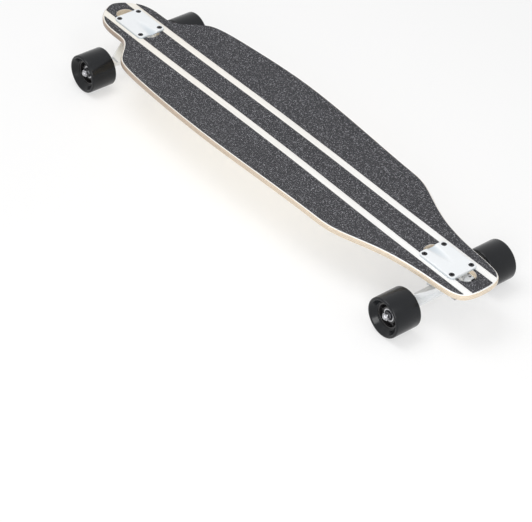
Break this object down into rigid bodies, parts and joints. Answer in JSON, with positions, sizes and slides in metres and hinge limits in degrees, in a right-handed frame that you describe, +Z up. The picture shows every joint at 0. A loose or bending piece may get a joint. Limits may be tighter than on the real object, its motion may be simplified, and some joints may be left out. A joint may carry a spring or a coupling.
{
  "type": "longboard skateboard",
  "caption": "Drop-through longboard: cambered concave maple deck with grip tape, reverse-kingpin trucks that steer as it leans, and free-spinning urethane wheels.",
  "frame": {"origin": "on the floor under the middle of the deck's length, half-way between the wheels", "axes": "+X towards the tail along the deck, +Y towards the board's left side, +Z up"},
  "size_m": [0.99, 0.255, 0.1038],
  "materials": {
    "deck_wood": "clear lacquer over pale maple",
    "grip_grit": "charcoal grit",
    "truck_paint": "gloss white",
    "fastener_steel": "zinc plated",
    "washer_steel": "plain",
    "bolt_black": "black oxide",
    "bushing_urethane": "white urethane",
    "cup_plastic": "moulded",
    "wheel_urethane": "gloss black urethane",
    "core_plastic": "moulded",
    "bearing_steel": "ground",
    "shield_steel": "pressed"
  },
  "bodies": {
    "deck": {"deck": "deck_wood", "grip_tape_left": "grip_grit", "grip_tape_center": "grip_grit", "grip_tape_right": "grip_grit", "front_baseplate": "truck_paint", "front_pivot_cup": "cup_plastic", "front_kingpin": "fastener_steel", "front_kingpin_nut": "fastener_steel", "front_board_bushing": "bushing_urethane", "front_road_bushing": "bushing_urethane", "front_board_washer": "washer_steel", "front_road_washer": "washer_steel", "front_truck_bolts": "bolt_black", "front_truck_nuts": "fastener_steel", "rear_baseplate": "truck_paint", "rear_pivot_cup": "cup_plastic", "rear_kingpin": "fastener_steel", "rear_kingpin_nut": "fastener_steel", "rear_board_bushing": "bushing_urethane", "rear_road_bushing": "bushing_urethane", "rear_board_washer": "washer_steel", "rear_road_washer": "washer_steel", "rear_truck_bolts": "bolt_black", "rear_truck_nuts": "fastener_steel"},
    "front_hanger": {"front_hanger": "truck_paint", "front_axle": "fastener_steel", "front_speed_washers": "washer_steel", "front_bearing_spacers": "washer_steel", "front_inner_races": "bearing_steel", "front_axle_nuts": "fastener_steel"},
    "front_left_wheel": {"front_left_tyre": "wheel_urethane", "front_left_core": "core_plastic", "front_left_outer_races": "bearing_steel", "front_left_bearing_shields": "shield_steel"},
    "front_right_wheel": {"front_right_tyre": "wheel_urethane", "front_right_core": "core_plastic", "front_right_outer_races": "bearing_steel", "front_right_bearing_shields": "shield_steel"},
    "rear_hanger": {"rear_hanger": "truck_paint", "rear_axle": "fastener_steel", "rear_speed_washers": "washer_steel", "rear_bearing_spacers": "washer_steel", "rear_inner_races": "bearing_steel", "rear_axle_nuts": "fastener_steel"},
    "rear_left_wheel": {"rear_left_tyre": "wheel_urethane", "rear_left_core": "core_plastic", "rear_left_outer_races": "bearing_steel", "rear_left_bearing_shields": "shield_steel"},
    "rear_right_wheel": {"rear_right_tyre": "wheel_urethane", "rear_right_core": "core_plastic", "rear_right_outer_races": "bearing_steel", "rear_right_bearing_shields": "shield_steel"}
  },
  "joints": [
    {"name": "front_truck_lean", "type": "hinge", "parent": "deck", "child": "front_hanger", "pos_m": [-0.42258, 0, 0.05636], "axis": [-0.8192, 0, 0.5736], "range_deg": [-12, 12], "stiffness_Nm_per_rad": 60, "deforming": ["front_board_bushing", "front_road_bushing"]},
    {"name": "front_left_wheel_spin", "type": "hinge", "parent": "front_hanger", "child": "front_left_wheel", "pos_m": [-0.4069, 0.102, 0.035], "axis": [0, 1, 0], "continuous": true},
    {"name": "front_right_wheel_spin", "type": "hinge", "parent": "front_hanger", "child": "front_right_wheel", "pos_m": [-0.4069, -0.102, 0.035], "axis": [0, 1, 0], "continuous": true},
    {"name": "rear_truck_lean", "type": "hinge", "parent": "deck", "child": "rear_hanger", "pos_m": [0.42258, 0, 0.05636], "axis": [0.8192, 0, 0.5736], "range_deg": [-12, 12], "stiffness_Nm_per_rad": 60, "deforming": ["rear_board_bushing", "rear_road_bushing"]},
    {"name": "rear_left_wheel_spin", "type": "hinge", "parent": "rear_hanger", "child": "rear_left_wheel", "pos_m": [0.4069, 0.102, 0.035], "axis": [0, 1, 0], "continuous": true},
    {"name": "rear_right_wheel_spin", "type": "hinge", "parent": "rear_hanger", "child": "rear_right_wheel", "pos_m": [0.4069, -0.102, 0.035], "axis": [0, 1, 0], "continuous": true}
  ]
}
